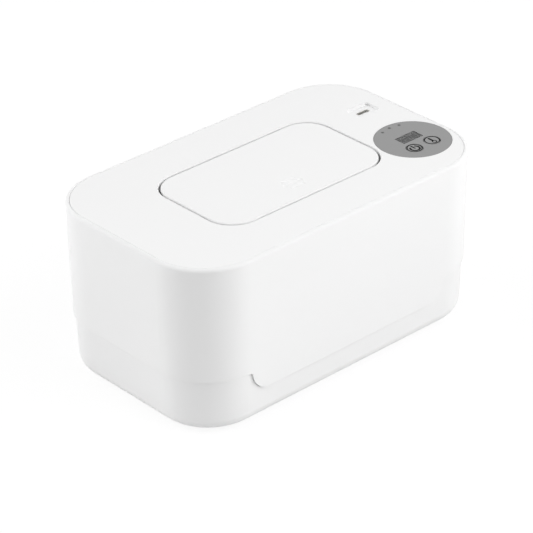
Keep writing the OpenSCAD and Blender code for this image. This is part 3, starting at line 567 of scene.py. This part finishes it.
class WIPE_WARMER_OT_key_marks(bpy.types.Operator):
    """Prints the rings and symbols on the two keys"""

    bl_idname = "wipe_warmer.key_marks"
    bl_label = "Key marks"

    def start_mark(self, key, sizes):
        """A new mesh with the ring round a key, the key's middle and the mark's two heights."""
        mesh = bmesh.new()
        centre = top_of(key)
        low, high = centre.z, centre.z + sizes.ink_height
        add_ring(mesh, centre, sizes.ring_radius, sizes.ring_line, low, high)
        return mesh, centre, low, high

    def execute(self, context):
        sizes = context.scene.warmer_sizes
        ink = screen_ink(context.scene.warmer_colours.ink)

        # A power sign: a ring that is open on both sides of its upright bar, by so many degrees.
        # The ring sits a little to the front, so that the sign as a whole is in the middle.
        mesh, centre, low, high = self.start_mark("power_key", sizes)
        opening = 35
        shift, bar_top, bar_foot = 0.35 * MM, 3.0 * MM, 0.1 * MM
        x, y = centre.x, centre.y - shift
        half = sizes.symbol_line / 2
        # The bar is a little thinner than the ring's line
        bar_share = 0.85
        bar_half = half * bar_share
        sides = [
            arc((x, y), sizes.power_radius + side * half, 90 + opening, 450 - opening, steps=48)
            for side in (-1, 1)
        ]
        add_band(mesh, *sides, low, high)
        add_prism(
            mesh,
            arc((x, y + bar_top), bar_half, 0, 180, steps=10)
            + arc((x, y + bar_foot), bar_half, 180, 360, steps=10),
            low, high,
        )
        add_piece("power_mark", mesh, ink, "power_button")

        # A thermometer: a filled stem over an outlined bulb
        mesh, centre, low, high = self.start_mark("temperature_key", sizes)
        bulb_drop, line, stem_half = 2.0 * MM, 0.65 * MM, 0.65 * MM
        x, bulb_y = centre.x, centre.y - bulb_drop
        stem_top, stem_foot = centre.y + 2.4 * MM, bulb_y + 0.9 * MM
        add_ring(mesh, (x, bulb_y), sizes.bulb_radius - line / 2, line, low, high, steps=40)
        add_prism(
            mesh,
            arc((x, stem_top), stem_half, 0, 180, steps=10)
            + [(x - stem_half, stem_foot), (x + stem_half, stem_foot)],
            low, high,
        )
        add_piece("temperature_mark", mesh, ink, "temperature_button")
        return {"FINISHED"}


class WIPE_WARMER_OT_display_digits(bpy.types.Operator):
    """Adds the two digits under the display window"""

    bl_idname = "wipe_warmer.display_digits"
    bl_label = "Display digits"

    # Ends of each stroke, in half widths and half heights of a digit
    STROKES = {
        "top": ((-1, 1), (1, 1)),
        "upper left": ((-1, 0), (-1, 1)),
        "upper right": ((1, 0), (1, 1)),
        "middle": ((-1, 0), (1, 0)),
        "lower right": ((1, -1), (1, 0)),
        "bottom": ((-1, -1), (1, -1)),
    }
    # Strokes of the left digit, a 4, and of the right one, a 5
    NUMERALS = {
        -1: ("upper left", "upper right", "middle", "lower right"),
        1: ("top", "upper left", "middle", "lower right", "bottom"),
    }

    def execute(self, context):
        sizes = context.scene.warmer_sizes
        dress(cast_epoxy("cast_epoxy_black", "#101113", 0.3), "led_display")
        face = top_of("led_display")
        window = top_of("display_window")
        digit_offset, relief, gap = 3.1 * MM, 0.05 * MM, 0.12 * MM
        slant = math.tan(math.radians(8))
        half = sizes.digit_stroke / 2
        # A stroke's pointed ends stop short of the corner where it would meet the next one
        tip_share = 0.4
        inset = gap + half * tip_share
        mesh = bmesh.new()
        for side, strokes in self.NUMERALS.items():
            middle_x = window.x + side * digit_offset
            for stroke in strokes:
                start, end = (
                    Vector((x * sizes.digit_width / 2, y * sizes.digit_height / 2))
                    for x, y in self.STROKES[stroke]
                )
                along = (end - start).normalized()
                across = Vector((-along.y, along.x)) * half
                start, end = start + along * inset, end - along * inset
                outline = [
                    start, start + along * half + across, end - along * half + across,
                    end, end - along * half - across, start + along * half - across,
                ]
                add_prism(
                    mesh, [(middle_x + p.x + p.y * slant, window.y + p.y) for p in outline],
                    face.z, face.z + relief,
                )
        finish = diffusing_epoxy(context.scene.warmer_colours.digit)
        add_piece("display_digits", mesh, finish, "hood")
        return {"FINISHED"}


class WIPE_WARMER_OT_power_inlet(bpy.types.Operator):
    """Finishes the power inlet and adds its contact strips"""

    bl_idname = "wipe_warmer.power_inlet"
    bl_label = "Power inlet"

    # Contacts in a row, and those that reach further out so that power joins first
    ROW = 12
    LONG_CONTACTS = (0, 3, 8, 11)

    def execute(self, context):
        sizes = context.scene.warmer_sizes
        dress(satin_nickel(), "usb_c_shell")
        dress(moulded_insulator(), "usb_c_tongue")
        top = top_of("usb_c_tongue")
        half_tongue, strip, edge = 0.35 * MM, 0.04 * MM, 0.012 * MM
        # Depths below the tongue's top, where the strips begin and end
        long_end, short_end, foot = 0.9 * MM, 1.4 * MM, 4.8 * MM
        mesh = bmesh.new()
        for side in (-1, 1):
            faces = (top.y + side * half_tongue, top.y + side * (half_tongue + strip))
            near, far = sorted(faces)
            for i in range(self.ROW):
                x = top.x + (i - (self.ROW - 1) / 2) * sizes.contact_pitch
                end = top.z - (long_end if i in self.LONG_CONTACTS else short_end)
                add_block(
                    mesh, (x - sizes.contact_width / 2, near, top.z - foot),
                    (x + sizes.contact_width / 2, far, end), edge,
                )
        add_piece("inlet_contacts", mesh, gold_flash(), "hood")
        return {"FINISHED"}


class WIPE_WARMER_OT_latch_and_hinge(bpy.types.Operator):
    """Finishes the push latch, the hinge pin and the seals of the flap and the liner"""

    bl_idname = "wipe_warmer.latch_and_hinge"
    bl_label = "Latch, hinge and seals"

    def execute(self, context):
        colours = context.scene.warmer_colours
        dress(moulded_acetal(colours.latch), "push_latch_case", "push_latch_plunger")
        dress(zinc_plate(), "hinge_pin")
        dress(moulded_silicone(colours.silicone), "flap_seal", "liner_gasket")
        return {"FINISHED"}


class WIPE_WARMER_OT_feet(bpy.types.Operator):
    """Finishes the rubber feet"""

    bl_idname = "wipe_warmer.feet"
    bl_label = "Feet"

    def execute(self, context):
        dress(moulded_rubber(context.scene.warmer_colours.rubber), "rubber_feet")
        return {"FINISHED"}


class WIPE_WARMER_OT_heater(bpy.types.Operator):
    """Finishes the heater film, its foam, leads, fuse and sensor"""

    bl_idname = "wipe_warmer.heater"
    bl_label = "Heater"

    def execute(self, context):
        dress(polyimide_film(), "heater_film")
        dress(closed_cell_foam(), "insulation_foam")
        dress(silicone_lead(), "heater_leads")
        dress(nickel_plate(), "thermal_fuse")
        dress(cast_epoxy("cast_epoxy_bead", "#1d1e20", 0.25), "thermistor")
        return {"FINISHED"}


class WIPE_WARMER_OT_circuit_board(bpy.types.Operator):
    """Finishes the control board and adds the pins, can tops and solder joints"""

    bl_idname = "wipe_warmer.circuit_board"
    bl_label = "Control board"

    # The row of components on the board, and the space between them. From its left end there are
    # a transistor, a chip, an inductor and two cans.
    TRANSISTOR_W = 6.5 * MM
    CHIP_W = 5.0 * MM
    CAN_RADIUS = 2.5 * MM
    SPACE = 1.4 * MM

    def add_pins(self, mesh, left, row, base):
        """The transistor's tab and two legs, and four legs on each side of the chip."""
        middle = left + self.TRANSISTOR_W / 2
        body_half, tab_half, tab_end, tab_t = 2.9 * MM, 2.6 * MM, 4.1 * MM, 0.5 * MM
        tab_edge, leg_edge = 0.08 * MM, 0.06 * MM
        add_block(
            mesh, (middle - tab_half, row - tab_end, base),
            (middle + tab_half, row - body_half, base + tab_t), tab_edge,
        )
        # Each leg is its left side, its front and its depth
        leg_w, leg_t, leg_place, leg_depth = 0.8 * MM, 0.3 * MM, 2.3 * MM, 1.2 * MM
        legs = [
            (middle + side * leg_place - leg_w / 2, row + body_half, leg_depth)
            for side in (-1, 1)
        ]
        chip = left + self.TRANSISTOR_W + self.SPACE
        chip_leg, pitch, hidden = 0.4 * MM, 1.27 * MM, 0.1 * MM
        for i in range(4):
            y = row + (i - 1.5) * pitch - chip_leg / 2
            for x in (chip - leg_w + hidden, chip + self.CHIP_W - hidden):
                legs.append((x, y, chip_leg))
        for x, y, depth in legs:
            add_block(mesh, (x, y, base), (x + leg_w, y + depth, base + leg_t), leg_edge)

    def add_solder(self, mesh, base):
        """A solder joint where each lead ends on the board."""
        low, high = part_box("heater_leads")
        lead_r, sensor_to_lead, in_front = 0.7 * MM, 1.2 * MM, 0.2 * MM
        small_r, large_r = 0.8 * MM, 1.1 * MM
        joints = (
            (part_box("thermistor")[0].x + sensor_to_lead, small_r),
            (top_of("thermal_fuse").x, large_r),
            (high.x - lead_r, large_r),
        )
        # The joint's profile from its rim to its tip, in shares of its radius
        profile = ((1, 0), (0.9, 0.3), (0.55, 0.75), (0, 0.9))
        for x, r in joints:
            add_turned(
                mesh, [(r * out, base + r * up) for out, up in profile],
                (x, low.y - in_front), steps=24,
            )

    def add_can_top(self, mesh, centre, sleeve):
        """A can's rolled top with its vent, standing in the black sleeve."""
        # In mm: radius and height over the sleeve, from the rim inwards
        rim = ((2.2, -0.02), (2.15, 0.05), (1.9, 0.05), (1.8, 0.01), (0, 0.01))
        add_turned(mesh, [(r * MM, sleeve + z * MM) for r, z in rim], centre, steps=40)
        # The vent is a cross of two low ribs. In mm: half width, half length and two heights.
        rib_half, rib_reach, rib_low, rib_high = 0.09, 1.6, 0.01, 0.04
        middle = Vector(centre)
        for turn in (45, 135):
            along = Vector((math.cos(math.radians(turn)), math.sin(math.radians(turn))))
            across = Vector((-along.y, along.x)) * rib_half * MM
            reach = along * rib_reach * MM
            corners = [
                tuple(middle + reach * a + across * b)
                for a, b in ((-1, -1), (1, -1), (1, 1), (-1, 1))
            ]
            add_prism(mesh, corners, sleeve + rib_low * MM, sleeve + rib_high * MM)

    def execute(self, context):
        dress(solder_mask(), "control_board")
        dress(cast_epoxy("moulded_epoxy_black", "#26272a", 0.45), "board_components")
        board = top_of("control_board")
        low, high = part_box("board_components")
        row = (low.y + high.y) / 2

        mesh = bmesh.new()
        self.add_pins(mesh, low.x, row, board.z)
        self.add_solder(mesh, board.z)
        add_piece("board_pins_and_solder", mesh, tin_plate(), "hood")

        mesh = bmesh.new()
        for i in (0, 1):
            x = high.x - self.CAN_RADIUS - i * (2 * self.CAN_RADIUS + self.SPACE)
            self.add_can_top(mesh, (x, row), high.z)
        add_piece("capacitor_tops", mesh, rolled_aluminium(), "hood")
        return {"FINISHED"}


class WIPE_WARMER_OT_key_switches(bpy.types.Operator):
    """Finishes the key switches and adds their sheet covers, rivets and legs"""

    bl_idname = "wipe_warmer.key_switches"
    bl_label = "Key switches"

    def add_cover(self, mesh, centre, top, thickness):
        """A square sheet with cut corners and a round hole for the stem."""
        steps, half, hole_radius = 48, 2.8 * MM, 2.0 * MM
        # In half widths, the sum of x and y where the corners are cut. 2 would leave them whole.
        cut = 1.75
        hole = arc(centre, hole_radius, 0, 360, steps)[:-1]
        # The outer line has as many points as the hole, each in the same direction
        edge = []
        for x, y in arc((0, 0), 1, 0, 360, steps)[:-1]:
            reach = half / max(abs(x), abs(y), (abs(x) + abs(y)) / cut)
            edge.append((centre.x + x * reach, centre.y + y * reach))
        add_band(mesh, hole, edge, top, top + thickness, closed=True)

    def execute(self, context):
        dress(moulded_nylon(), "switch_housings", "power_switch_stem", "temperature_switch_stem")
        top = top_of("switch_housings").z
        board = top_of("control_board").z
        sheet = 0.15 * MM
        rivet_place, rivet_r = 2.05 * MM, 0.42 * MM
        # Radius and height of a rivet's head, from its rim to its middle
        rivet = (
            (rivet_r, top + sheet), (rivet_r * 0.8, top + 0.28 * MM), (0, top + 0.33 * MM)
        )
        leg_start, leg_length, leg_place = 3.05 * MM, 1.1 * MM, 2.25 * MM
        leg_half, leg_t, leg_edge = 0.35 * MM, 0.25 * MM, 0.05 * MM
        covers, rivets = bmesh.new(), bmesh.new()
        for stem in ("power_switch_stem", "temperature_switch_stem"):
            centre = top_of(stem)
            self.add_cover(covers, centre, top, sheet)
            for sx in (-1, 1):
                leg = centre.x + sx * leg_start
                near, far = sorted((leg, leg + sx * leg_length))
                for sy in (-1, 1):
                    place = (centre.x + sx * rivet_place, centre.y + sy * rivet_place)
                    add_turned(rivets, rivet, place, steps=20)
                    y = centre.y + sy * leg_place
                    add_block(
                        covers, (near, y - leg_half, board), (far, y + leg_half, board + leg_t),
                        leg_edge,
                    )
        add_piece("switch_covers", covers, nickel_plate(), "hood")
        add_piece("switch_rivets", rivets, moulded_nylon(), "hood")
        return {"FINISHED"}


class WIPE_WARMER_OT_fasteners(bpy.types.Operator):
    """Finishes the assembly screws and the board screws"""

    bl_idname = "wipe_warmer.fasteners"
    bl_label = "Screws"

    def execute(self, context):
        dress(zinc_plate(), "assembly_screws", "board_screws")
        return {"FINISHED"}


class WIPE_WARMER_OT_stage(bpy.types.Operator):
    """Sets up the floor, the lamps, the world and the camera"""

    bl_idname = "wipe_warmer.stage"
    bl_label = "Stage"

    FLOOR_RADIUS = 4.0
    # Just under the feet, so that the two faces don't lie in one plane
    FLOOR_HEIGHT = -0.05 * MM
    # Where the room is darker, and the cosines to that direction between which it darkens
    DARK_DIRECTION = (-0.71, -0.7, 0.0)
    DARK_FROM, DARK_TO = 0.35, 0.95
    # Place and width of the two square lamps, and the point that both are aimed at
    FRONT_LAMP = ((0.6, -1.03, 0.9), 1.4)
    BACK_LAMP = ((-1.2, 1.05, 0.95), 1.7)
    LAMP_TARGET = (0, 0, 0.05)

    def seen_directly(self, tree, *others):
        """1 for camera rays and for the other kinds of ray that are named."""
        rays = add_node(tree, "ShaderNodeLightPath").outputs
        shown = rays["Is Camera Ray"]
        for name in others:
            either = {0: shown, 1: rays[name]}
            shown = add_node(tree, "ShaderNodeMath", {"operation": "MAXIMUM"}, either).outputs[0]
        return shown

    def make_floor(self):
        mesh = bmesh.new()
        bmesh.ops.create_circle(mesh, cap_ends=True, segments=96, radius=self.FLOOR_RADIUS)
        data = bpy.data.meshes.new("floor")
        mesh.to_mesh(data)
        mesh.free()
        floor = bpy.data.objects.new("floor", data)
        floor.location.z = self.FLOOR_HEIGHT
        bpy.context.scene.collection.objects.link(floor)
        # Matt white paper. Seen directly it is lifted to the background's white, and keeps a soft
        # shadow. In a reflection it is as bright as it is lit, so the unit's edges don't burn out.
        white, lifted, lifted_share = 0.86, 1.04, 0.86
        paper = bpy.data.materials.new("matt_white_paper")
        paper.use_nodes = True
        tree = paper.node_tree
        tree.nodes.clear()
        lit = add_node(tree, "ShaderNodeBsdfDiffuse", {"Color": (white, white, white, 1)})
        lift = add_node(tree, "ShaderNodeEmission", {"Strength": lifted})
        share = add_node(
            tree, "ShaderNodeMath", {"operation": "MULTIPLY", 1: lifted_share},
            {0: self.seen_directly(tree, "Is Transmission Ray")},
        )
        mixed = add_node(
            tree, "ShaderNodeMixShader", None,
            {0: share.outputs[0], 1: lit.outputs[0], 2: lift.outputs[0]},
        )
        add_node(tree, "ShaderNodeOutputMaterial", None, {"Surface": mixed.outputs[0]})
        data.materials.append(paper)

    def make_world(self, ambient, dark_side):
        world = bpy.data.worlds.new("even_studio")
        world.use_nodes = True
        tree = world.node_tree
        tree.nodes.clear()
        # The room is darker on the camera's side, which leaves the near corner in half shade
        place = add_node(tree, "ShaderNodeTexCoord").outputs["Generated"]
        facing = add_node(
            tree, "ShaderNodeVectorMath", {"operation": "DOT_PRODUCT", 1: self.DARK_DIRECTION},
            {0: place},
        )
        dimmed = add_node(
            tree, "ShaderNodeMapRange",
            {"interpolation_type": "SMOOTHSTEP", "From Min": self.DARK_FROM,
             "From Max": self.DARK_TO, "To Min": ambient, "To Max": ambient * (1 - dark_side)},
            {"Value": facing.outputs["Value"]},
        )
        strength = add_node(
            tree, "ShaderNodeMapRange", {"To Max": 1.0},
            {"Value": self.seen_directly(tree, "Is Glossy Ray", "Is Transmission Ray"),
             "To Min": dimmed.outputs["Result"]},
        )
        sky = add_node(
            tree, "ShaderNodeBackground", {"Color": (1, 1, 1, 1)},
            {"Strength": strength.outputs["Result"]},
        )
        add_node(tree, "ShaderNodeOutputWorld", None, {"Surface": sky.outputs[0]})
        bpy.context.scene.world = world

    def add_lamp(self, name, place, size, power):
        lamp = bpy.data.lights.new(name, "AREA")
        lamp.shape = "SQUARE"
        lamp.size = size
        lamp.energy = power
        holder = bpy.data.objects.new(name, lamp)
        holder.location = place
        holder.rotation_mode = "QUATERNION"
        aim = Vector(self.LAMP_TARGET) - Vector(place)
        holder.rotation_quaternion = aim.to_track_quat("-Z", "Y")
        # A diffuser hides the lamp: a reflection shows the even white room, so no whites burn out
        holder.visible_glossy = False
        bpy.context.scene.collection.objects.link(holder)

    def aim_camera(self, studio):
        a, e, r = studio.azimuth, studio.elevation, studio.roll
        back = Vector((math.sin(a) * math.cos(e), -math.cos(a) * math.cos(e), math.sin(e)))
        right = Vector((math.cos(a), math.sin(a), 0))
        up = back.cross(right)
        turned = (
            right * math.cos(r) + up * math.sin(r), up * math.cos(r) - right * math.sin(r), back
        )
        camera = bpy.data.cameras.new("camera")
        camera.lens = studio.lens
        camera.sensor_width = 36
        camera.clip_start = 0.1
        camera.clip_end = 20
        holder = bpy.data.objects.new("camera", camera)
        place = Vector(studio.target) + back * studio.distance
        holder.matrix_world = Matrix.Translation(place) @ Matrix(turned).transposed().to_4x4()
        bpy.context.scene.collection.objects.link(holder)
        bpy.context.scene.camera = holder

    def execute(self, context):
        studio = context.scene.warmer_studio
        self.make_floor()
        self.make_world(studio.ambient, studio.dark_side)
        self.add_lamp("front_right_lamp", *self.FRONT_LAMP, studio.front_power)
        self.add_lamp("back_left_lamp", *self.BACK_LAMP, studio.back_power)
        self.aim_camera(studio)
        context.scene.view_settings.view_transform = "Standard"
        return {"FINISHED"}


OPERATORS = (
    WIPE_WARMER_OT_moulded_shells,
    WIPE_WARMER_OT_control_panel,
    WIPE_WARMER_OT_key_marks,
    WIPE_WARMER_OT_display_digits,
    WIPE_WARMER_OT_power_inlet,
    WIPE_WARMER_OT_latch_and_hinge,
    WIPE_WARMER_OT_feet,
    WIPE_WARMER_OT_heater,
    WIPE_WARMER_OT_circuit_board,
    WIPE_WARMER_OT_key_switches,
    WIPE_WARMER_OT_fasteners,
    WIPE_WARMER_OT_stage,
)


class WIPE_WARMER_PT_looks(bpy.types.Panel):
    """Steps and values of the wipe warmer's looks"""

    bl_idname = "WIPE_WARMER_PT_looks"
    bl_label = "Wipe warmer"
    bl_space_type = "VIEW_3D"
    bl_region_type = "UI"
    bl_category = "Wipe Warmer"

    def draw(self, context):
        for operator in OPERATORS:
            self.layout.operator(operator.bl_idname)
        scene = context.scene
        for group in (scene.warmer_colours, scene.warmer_sizes, scene.warmer_studio):
            column = self.layout.column(align=True)
            for name in group.__annotations__:
                column.prop(group, name)


CLASSES = (WarmerColours, WarmerSizes, WarmerStudio, *OPERATORS, WIPE_WARMER_PT_looks)


def register():
    for cls in CLASSES:
        bpy.utils.register_class(cls)
    bpy.types.Scene.warmer_colours = bpy.props.PointerProperty(type=WarmerColours)
    bpy.types.Scene.warmer_sizes = bpy.props.PointerProperty(type=WarmerSizes)
    bpy.types.Scene.warmer_studio = bpy.props.PointerProperty(type=WarmerStudio)


def unregister():
    del bpy.types.Scene.warmer_studio
    del bpy.types.Scene.warmer_sizes
    del bpy.types.Scene.warmer_colours
    for cls in reversed(CLASSES):
        bpy.utils.unregister_class(cls)


def main():
    register()
    for operator in OPERATORS:
        getattr(bpy.ops.wipe_warmer, operator.bl_idname.split(".")[1])()


if __name__ == "__main__":
    main()
